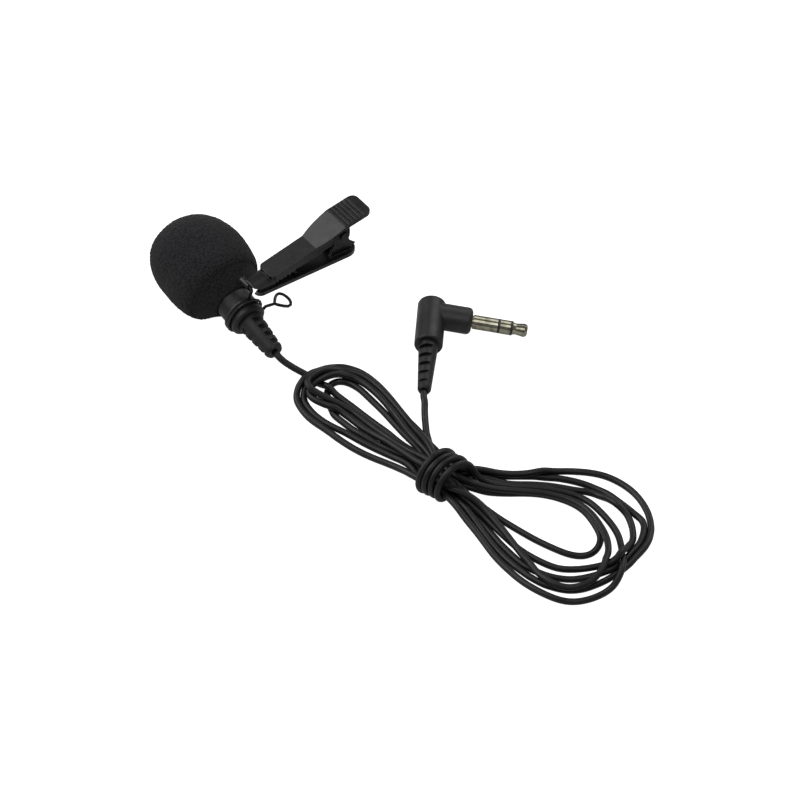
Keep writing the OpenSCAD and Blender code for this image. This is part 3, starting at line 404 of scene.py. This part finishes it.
def closed_mesh(name, points, sides):
    """Rings of so many points, each joined to the next, and closed by the last two points."""
    start, end = len(points) - 2, len(points) - 1
    last = start - sides
    faces = []
    for a in range(last):
        b = a + 1 if (a + 1) % sides else a + 1 - sides
        faces.append((a, b, b + sides, a + sides))
    for k in range(sides):
        following = (k + 1) % sides
        faces.append((start, following, k))
        faces.append((last + k, last + following, end))
    mesh = bpy.data.meshes.new(name)
    mesh.from_pydata([tuple(p * MM) for p in points], [], faces)
    mesh.polygons.foreach_set("use_smooth", [True] * len(mesh.polygons))
    mesh.update()
    return mesh


def tube_points(run, radius):
    """Rings round the run, carried along without twist, and the run's two ends."""
    ways = directions(run)
    side = np.cross(ways[0], (0, 0, 1))
    sides = []
    for way in ways:
        side = side - way * (side @ way)
        side /= np.linalg.norm(side)
        sides.append(side)
    sides = np.array(sides)
    ups = np.cross(ways, sides)
    turned = np.linspace(0, 2 * math.pi, CORD_SIDES, endpoint=False)[None, :, None]
    rings = run[:, None] + radius * (np.cos(turned) * sides[:, None] + np.sin(turned) * ups[:, None])
    return np.vstack([rings.reshape(-1, 3), run[:1], run[-1:]])


def make_cord():
    """The cord as one smooth tube."""
    run = smooth_run(settled(curve_through(drawn_route(), STEP)))
    mesh = closed_mesh("cord", tube_points(run, CORD_D / 2), CORD_SIDES)
    mesh.materials.append(cord_finish())
    cord = placed("cord", mesh)
    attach(cord, "microphone")
    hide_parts("cord_mic_lead", "cord_front_loop", "cord_tie", "cord_rear_loop", "cord_plug_lead")


# ---------------------------------------------------------------- finishes
BEVEL_SAMPLES = 6

# How alike the rounded and the plain normal are where the painted edge highlight is at its full strength
# and where a face starts.
EDGE_ALIKE, FACE_ALIKE = 0.84, 0.98


class Finish:
    """A principled material whose colour, gloss and relief follow noise in the row frame."""

    def __init__(self, name, colour, roughness, metallic=0.0, specular=0.5):
        self.material = bpy.data.materials.new(name)
        self.material.use_nodes = True
        self.tree = self.material.node_tree
        self.shader = self.tree.nodes["Principled BSDF"]
        self.shader.inputs["Base Color"].default_value = (*colour, 1)
        self.shader.inputs["Roughness"].default_value = roughness
        self.shader.inputs["Metallic"].default_value = metallic
        self.shader.inputs["Specular IOR Level"].default_value = specular
        self.place = self.tree.nodes.new("ShaderNodeTexCoord").outputs["Object"]

    def node(self, kind, settings=(), **inputs):
        """A new node, with its settings and with each input linked to a socket or set to a value."""
        made = self.tree.nodes.new(kind)
        for key, value in settings:
            setattr(made, key, value)
        for key, value in inputs.items():
            socket = made.inputs[key.replace("_", " ")]
            if isinstance(value, bpy.types.NodeSocket):
                self.tree.links.new(value, socket)
            else:
                socket.default_value = value
        return made

    def cloud(self, size, detail=3.0):
        """Soft noise whose features are about size millimetres across."""
        made = self.node("ShaderNodeTexNoise", Vector=self.place, Scale=1 / (size * MM), Detail=detail)
        return made.outputs["Fac"]

    def cells(self, size):
        """The distance into cells of that size, such as a foam's pores."""
        made = self.node("ShaderNodeTexVoronoi", Vector=self.place, Scale=1 / (size * MM))
        return made.outputs["Distance"]

    def spread(self, value, low, high, start=0.0, end=1.0):
        """The value stretched from start..end to low..high."""
        made = self.node("ShaderNodeMapRange", Value=value)
        for key, number in (("From Min", start), ("From Max", end), ("To Min", low), ("To Max", high)):
            made.inputs[key].default_value = number
        return made.outputs["Result"]

    def mix_colours(self, share, dark, light):
        """A colour between two colours or colour sockets, by share."""
        made = self.node("ShaderNodeMix", [("data_type", "RGBA")])
        self.tree.links.new(share, made.inputs["Factor"])
        first_colour, second_colour, mixed_colour = 6, 7, 2
        for place, colour in ((first_colour, dark), (second_colour, light)):
            if isinstance(colour, bpy.types.NodeSocket):
                self.tree.links.new(colour, made.inputs[place])
            else:
                made.inputs[place].default_value = (*colour, 1)
        return made.outputs[mixed_colour]

    def rounded(self, radius):
        """The normal with edges rounded by that many millimetres."""
        made = self.node("ShaderNodeBevel", [("samples", BEVEL_SAMPLES)], Radius=radius * MM)
        return made.outputs["Normal"]

    def edges(self, width):
        """1 along the edges, over that many millimetres, and 0 on the faces."""
        both = self.node("ShaderNodeVectorMath", [("operation", "DOT_PRODUCT")])
        self.tree.links.new(self.rounded(width), both.inputs[0])
        self.tree.links.new(self.node("ShaderNodeNewGeometry").outputs["Normal"], both.inputs[1])
        return self.spread(both.outputs["Value"], 1, 0, EDGE_ALIKE, FACE_ALIKE)

    def colour(self, share, dark, light):
        """Base colour between two colours, by share."""
        self.tree.links.new(self.mix_colours(share, dark, light), self.shader.inputs["Base Color"])

    def gloss(self, low, high, size, detail=3.0):
        """Roughness that drifts between two values."""
        share = self.spread(self.cloud(size, detail), low, high, 0.3, 0.7)
        self.tree.links.new(share, self.shader.inputs["Roughness"])

    def relief(self, *heights, edge=0.0):
        """Bump from pairs of a height and its depth in millimetres, over edges rounded by edge."""
        normal = self.rounded(edge) if edge else None
        for height, depth in heights:
            bump = self.node("ShaderNodeBump", Height=height, Distance=depth * MM)
            if normal is not None:
                self.tree.links.new(normal, bump.inputs["Normal"])
            normal = bump.outputs["Normal"]
        self.tree.links.new(normal, self.shader.inputs["Normal"])


BLACK = (0.012, 0.012, 0.013)
SOFT_BLACK = (0.018, 0.018, 0.019)
# Width in millimetres of the painted highlight along moulded edges. It stands in for light caught by their
# rounding.
EDGE_HIGHLIGHT_WIDTH = 0.16


def moulded(name, dark, light, gloss_low, gloss_high, grain_depth, edge=0.12, specular=0.5, edge_highlight=None):
    """Moulded black plastic: a fine spark texture, drifting gloss and slightly rounded edges that carry a
    painted highlight.
    """
    made = Finish(name, light, gloss_low, specular=specular)
    plain = made.mix_colours(made.spread(made.cloud(4), 0, 1, 0.35, 0.65), dark, light)
    # Painted highlight: along the edges the colour turns to the lighter one, or to the given edge highlight
    # colour.
    made.colour(made.edges(EDGE_HIGHLIGHT_WIDTH), plain, edge_highlight or light)
    made.gloss(gloss_low, gloss_high, 2.5)
    made.relief((made.cloud(0.16, 2), grain_depth), (made.cloud(1.8, 2), grain_depth), edge=edge)
    return made.material


def foam_finish():
    """Open-cell foam: dark pores between lighter struts."""
    made = Finish("foam_black", SOFT_BLACK, 1.0, specular=0.1)
    pores = made.cells(0.42)
    strut = made.spread(pores, 0, 1, 0.1, 0.6)
    made.colour(strut, (0.003, 0.003, 0.0034), (0.026, 0.026, 0.028))
    made.relief((strut, 0.1), (made.cloud(0.8, 4), 0.1))
    made.shader.inputs["Sheen Weight"].default_value = 0.06
    made.shader.inputs["Sheen Roughness"].default_value = 0.5
    return made.material


def cord_finish():
    """Satin vinyl jacket with faint drawing marks."""
    made = Finish("cord_vinyl", BLACK, 0.4, specular=0.3)
    drift = made.spread(made.cloud(6), 0, 1, 0.35, 0.65)
    made.colour(drift, (0.0055, 0.0055, 0.0065), (0.010, 0.010, 0.0115))
    made.gloss(0.34, 0.5, 3)
    made.relief((made.cloud(0.5, 3), 0.012), (made.cloud(3, 1), 0.05))
    return made.material


def metal_finish(name, dark, light, gloss_low, gloss_high, edge=0.06):
    """Plated metal with faint tarnish and fine turning marks."""
    made = Finish(name, light, gloss_low, metallic=1.0)
    made.colour(made.spread(made.cloud(1.6, 4), 0, 1, 0.35, 0.7), dark, light)
    made.gloss(gloss_low, gloss_high, 0.9, 4)
    made.relief((made.cloud(0.12, 2), 0.003), edge=edge)
    return made.material


def felt_finish():
    """Grey felt with a faint nap."""
    made = Finish("dust_felt", (0.03, 0.03, 0.032), 1.0, specular=0.2)
    made.colour(made.cloud(0.25, 5), (0.015, 0.015, 0.016), (0.06, 0.06, 0.063))
    made.relief((made.cloud(0.2, 5), 0.08))
    made.shader.inputs["Sheen Weight"].default_value = 0.3
    return made.material


def board_finish():
    """Glass-fibre board: green solder mask over a woven base."""
    made = Finish("board_green", (0.02, 0.12, 0.045), 0.35)
    made.colour(made.cloud(0.4, 2), (0.012, 0.09, 0.03), (0.03, 0.15, 0.06))
    made.relief((made.cells(0.3), 0.01))
    return made.material


def insulation_finish():
    """Red insulation of the thin leads inside."""
    made = Finish("lead_insulation", (0.42, 0.06, 0.05), 0.45)
    made.colour(made.cloud(0.8, 2), (0.36, 0.045, 0.04), (0.5, 0.08, 0.065))
    made.relief((made.cloud(0.2, 2), 0.01))
    return made.material


def grille_finish():
    """The grille's steel, faintly mottled."""
    made = Finish("grille_steel", (0.5, 0.5, 0.49), 0.35, metallic=1.0)
    made.colour(made.cloud(1.2, 3), (0.38, 0.38, 0.37), (0.55, 0.55, 0.53))
    made.relief((made.cloud(0.15, 2), 0.01), edge=0.05)
    return made.material


def dress_nodes():
    """Each CAD node's own finish."""
    # The clip's edges carry a strong painted highlight, a grey much lighter than its plastic.
    clip = moulded("clip_plastic", (0.004, 0.004, 0.0046), (0.0085, 0.0085, 0.0096),
                   0.24, 0.34, 0.006, specular=0.4, edge_highlight=(0.11, 0.11, 0.115))
    housing = moulded("housing_plastic", (0.005, 0.005, 0.0058), (0.009, 0.009, 0.010),
                      0.36, 0.5, 0.008, specular=0.35)
    plug = moulded("plug_plastic", (0.009, 0.009, 0.0105), (0.015, 0.015, 0.017),
                   0.36, 0.5, 0.010, edge=0.15, specular=0.4)
    relief = moulded("relief_rubber", (0.0075, 0.0075, 0.0085), (0.013, 0.013, 0.0145),
                     0.4, 0.55, 0.010, edge=0.15, specular=0.35)
    rubber = moulded("boot_rubber", (0.012, 0.012, 0.013), (0.02, 0.02, 0.021), 0.6, 0.75, 0.012)
    insulator = moulded("band_plastic", (0.008, 0.008, 0.009), (0.013, 0.013, 0.014),
                        0.35, 0.45, 0.004, edge=0.03)
    nickel = metal_finish("nickel", (0.17, 0.16, 0.12), (0.38, 0.365, 0.28), 0.08, 0.16)
    wire = moulded("blackened_wire", (0.006, 0.006, 0.007), (0.014, 0.014, 0.015),
                   0.28, 0.4, 0.003, edge=0.05, specular=0.4)
    can = metal_finish("can_metal", (0.5, 0.49, 0.46), (0.66, 0.65, 0.61), 0.2, 0.32)
    insulation = insulation_finish()
    vinyl = bpy.data.materials["cord_vinyl"]
    finishes = {
        "grille_cap": grille_finish(), "front_sleeve": housing, "dust_felt": felt_finish(),
        "capsule_can": can, "capsule_board": board_finish(), "capsule_boot": rubber,
        "capsule_leads": insulation, "neck_shell": housing, "mic_cord_crimp": nickel,
        "mic_cord_core": vinyl, "mic_strain_relief": relief, "wire_ring": wire, "clip_base": clip,
        "clip_lever": clip, "hinge_pin": wire, "torsion_spring": wire, "plug_body": plug,
        "plug_strain_relief": relief, "plug_cord_core": vinyl, "plug_cord_crimp": nickel,
        "plug_leads": insulation, "tip_tag": nickel, "ring_tag": nickel, "sleeve_tag": nickel,
        "jack_sleeve": nickel, "jack_rear_insulator": insulator, "jack_ring": nickel,
        "jack_front_insulator": insulator, "jack_tip": nickel}
    for name, material in finishes.items():
        node = frame["nodes"][name]
        node.data.materials.clear()
        node.data.materials.append(material)


def make_spring():
    """The torsion spring, copied from its CAD node into a mesh of its own that stays where the node was."""
    node = frame["nodes"]["torsion_spring"]
    mesh = node.data.copy()
    mesh.transform(node.matrix_world)
    spring = placed("spring", mesh)
    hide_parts("torsion_spring")
    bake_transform(spring)


# ---------------------------------------------------------------- the foam windscreen
# Places along the microphone's axis, counted from the wire ring, and radii.
FOAM_MOUTH_AT, FOAM_RIM_AT, FOAM_WIDE_AT, FOAM_TIP_AT = 4.5, 8.7, 16.6, 29.8
FOAM_BORE_R, FOAM_RIM_R, FOAM_WIDE_R = 4.7, 9.4, 11.4
FOAM_BORE_END = 17.7
FOAM_BLUNT = 2.4
FOAM_LEAN = 0.9

# How finely the bore, the rear cone, the shoulder and the dome are cut, and the soft lip of the mouth.
BORE_STEP = 0.6
CONE_STEPS, SHOULDER_STEPS, DOME_STEPS = 16, 25, 56
FOAM_SIDES = 240
LIP_SHARE, LIP_DEPTH = 0.25, 0.075

# The grain, which the rear cone has only a little of and the bore lacks.
GRAIN_SIZE, GRAIN_DEPTH = 0.55, 0.16
SWELL_SIZE, SWELL_DEPTH = 6.0, 0.12
CONE_GRAIN = 0.12


def foam_outline():
    """Place along the axis, radius and share of grain, from the bore's end round the mouth to the tip."""
    bore_steps = round((FOAM_BORE_END - FOAM_MOUTH_AT) / BORE_STEP)
    outline = [(FOAM_BORE_END - BORE_STEP * i, FOAM_BORE_R, 0) for i in range(bore_steps)]
    for i in range(CONE_STEPS + 1):
        share = i / CONE_STEPS
        lip = LIP_DEPTH * math.sin(math.pi * share / LIP_SHARE) if share < LIP_SHARE else 0
        place = FOAM_MOUTH_AT + (FOAM_RIM_AT - FOAM_MOUTH_AT) * share - lip
        outline.append((place, FOAM_BORE_R + (FOAM_RIM_R - FOAM_BORE_R) * share, CONE_GRAIN))
    for i in range(1, SHOULDER_STEPS + 1):
        turned = math.radians(90 * i / SHOULDER_STEPS)
        place = FOAM_RIM_AT + (FOAM_WIDE_AT - FOAM_RIM_AT) * (1 - math.cos(turned))
        outline.append((place, FOAM_RIM_R + (FOAM_WIDE_R - FOAM_RIM_R) * math.sin(turned), 1))
    for i in range(1, DOME_STEPS):
        turned = math.radians(90 * (1 - i / DOME_STEPS))
        place = FOAM_WIDE_AT + (FOAM_TIP_AT - FOAM_WIDE_AT) * math.cos(turned) ** (2 / FOAM_BLUNT)
        outline.append((place, FOAM_WIDE_R * math.sin(turned) ** (2 / FOAM_BLUNT), 1))
    return outline


def foam_point(place, radius, angle):
    """A point of the foam, which sits on the sleeve with its tip slightly aside."""
    side = math.cos(angle) * MIC_ACROSS + math.sin(angle) * MIC_UP
    lean = FOAM_LEAN * max(place - FOAM_BORE_END, 0) / (FOAM_TIP_AT - FOAM_BORE_END)
    return RING_CENTRE + place * MIC_AXIS + radius * side - lean * MIC_ACROSS


def make_foam():
    """The windscreen: a lathed form whose outer skin is roughened by its cells."""
    points, shares = [], []
    for place, radius, share in foam_outline():
        for k in range(FOAM_SIDES):
            points.append(foam_point(place, radius, 2 * math.pi * k / FOAM_SIDES))
            shares.append(share)
    points += [foam_point(FOAM_BORE_END, 0, 0), foam_point(FOAM_TIP_AT, 0, 0)]
    shares += [0, 1]
    mesh = closed_mesh("foam", points, FOAM_SIDES)
    normals = [vertex.normal.copy() for vertex in mesh.vertices]
    for vertex, point, normal, share in zip(mesh.vertices, points, normals, shares):
        if share:
            at = Vector(point)
            grain = noise.noise(at / GRAIN_SIZE) * GRAIN_DEPTH
            swell = noise.noise(at / SWELL_SIZE) * SWELL_DEPTH
            vertex.co += normal * (share * (grain + swell - GRAIN_DEPTH / 2)) * MM
    mesh.materials.append(foam_finish())
    foam = placed("foam", mesh)
    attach(foam, "windscreen")
    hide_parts("foam_windscreen")


# ---------------------------------------------------------------- table, lamps and background
TABLE_SIDE = 6000
TABLE_GREY = 0.5
TABLE_GLOW = {"Is Camera Ray": 1.0, "Is Glossy Ray": 0.2, "Is Transmission Ray": 0.2}
WORLD_GLOW = 0.25

# Each lamp's azimuth and elevation in degrees, its side and its power.
LAMPS = {"back_left": (-36, 40, 1100, 9), "right": (75, 45, 900, 4), "front": (200, 60, 700, 3)}
LAMP_DISTANCE = 1200
LAMP_AIM = np.array([0, -60, 0])


def make_table():
    """A plain table that looks white to the camera and reflects more darkly in the object."""
    mesh = bpy.data.meshes.new("table")
    half = TABLE_SIDE / 2 * MM
    corners = [(-half, -half, 0), (half, -half, 0), (half, half, 0), (-half, half, 0)]
    mesh.from_pydata(corners, [], [(0, 1, 2, 3)])
    table = placed("table", mesh)
    material = bpy.data.materials.new("table_white")
    material.use_nodes = True
    tree = material.node_tree
    tree.nodes.clear()
    matt = tree.nodes.new("ShaderNodeBsdfDiffuse")
    matt.inputs["Color"].default_value = (TABLE_GREY, TABLE_GREY, TABLE_GREY, 1)
    ray = tree.nodes.new("ShaderNodeLightPath")
    share = None
    for name, strength in TABLE_GLOW.items():
        part = tree.nodes.new("ShaderNodeMath")
        part.operation = "MULTIPLY_ADD"
        part.inputs[1].default_value = strength
        part.inputs[2].default_value = 0
        tree.links.new(ray.outputs[name], part.inputs[0])
        if share is not None:
            tree.links.new(share, part.inputs[2])
        share = part.outputs[0]
    glow = tree.nodes.new("ShaderNodeEmission")
    tree.links.new(share, glow.inputs["Strength"])
    both = tree.nodes.new("ShaderNodeAddShader")
    tree.links.new(matt.outputs[0], both.inputs[0])
    tree.links.new(glow.outputs[0], both.inputs[1])
    out = tree.nodes.new("ShaderNodeOutputMaterial")
    tree.links.new(both.outputs[0], out.inputs["Surface"])
    mesh.materials.append(material)


def make_lamp(name, azimuth, elevation, side, power):
    """A soft square lamp that faces the object, azimuth 0 being beyond it along +Y."""
    turned, raised = math.radians(azimuth), math.radians(elevation)
    towards = np.array([
        math.sin(turned) * math.cos(raised), math.cos(turned) * math.cos(raised), math.sin(raised)])
    light = bpy.data.lights.new(name, "AREA")
    light.shape = "SQUARE"
    light.size = side * MM
    light.energy = power
    lamp = placed(name, light)
    lamp.location = (LAMP_AIM + LAMP_DISTANCE * towards) * MM
    lamp.rotation_euler = Vector(towards).to_track_quat("Z", "Y").to_euler()


def make_light():
    """A faint white world, the lamps and a plain view transform."""
    world = bpy.data.worlds.new("world")
    bpy.context.scene.world = world
    world.use_nodes = True
    back = world.node_tree.nodes["Background"]
    back.inputs["Color"].default_value = (1, 1, 1, 1)
    back.inputs["Strength"].default_value = WORLD_GLOW
    for name, values in LAMPS.items():
        make_lamp(name, *values)
    bpy.context.scene.view_settings.view_transform = "Standard"


# ---------------------------------------------------------------- the whole scene
make_camera()
make_cord()
dress_nodes()
make_spring()
make_foam()
make_table()
make_light()

bpy.context.view_layer.update()
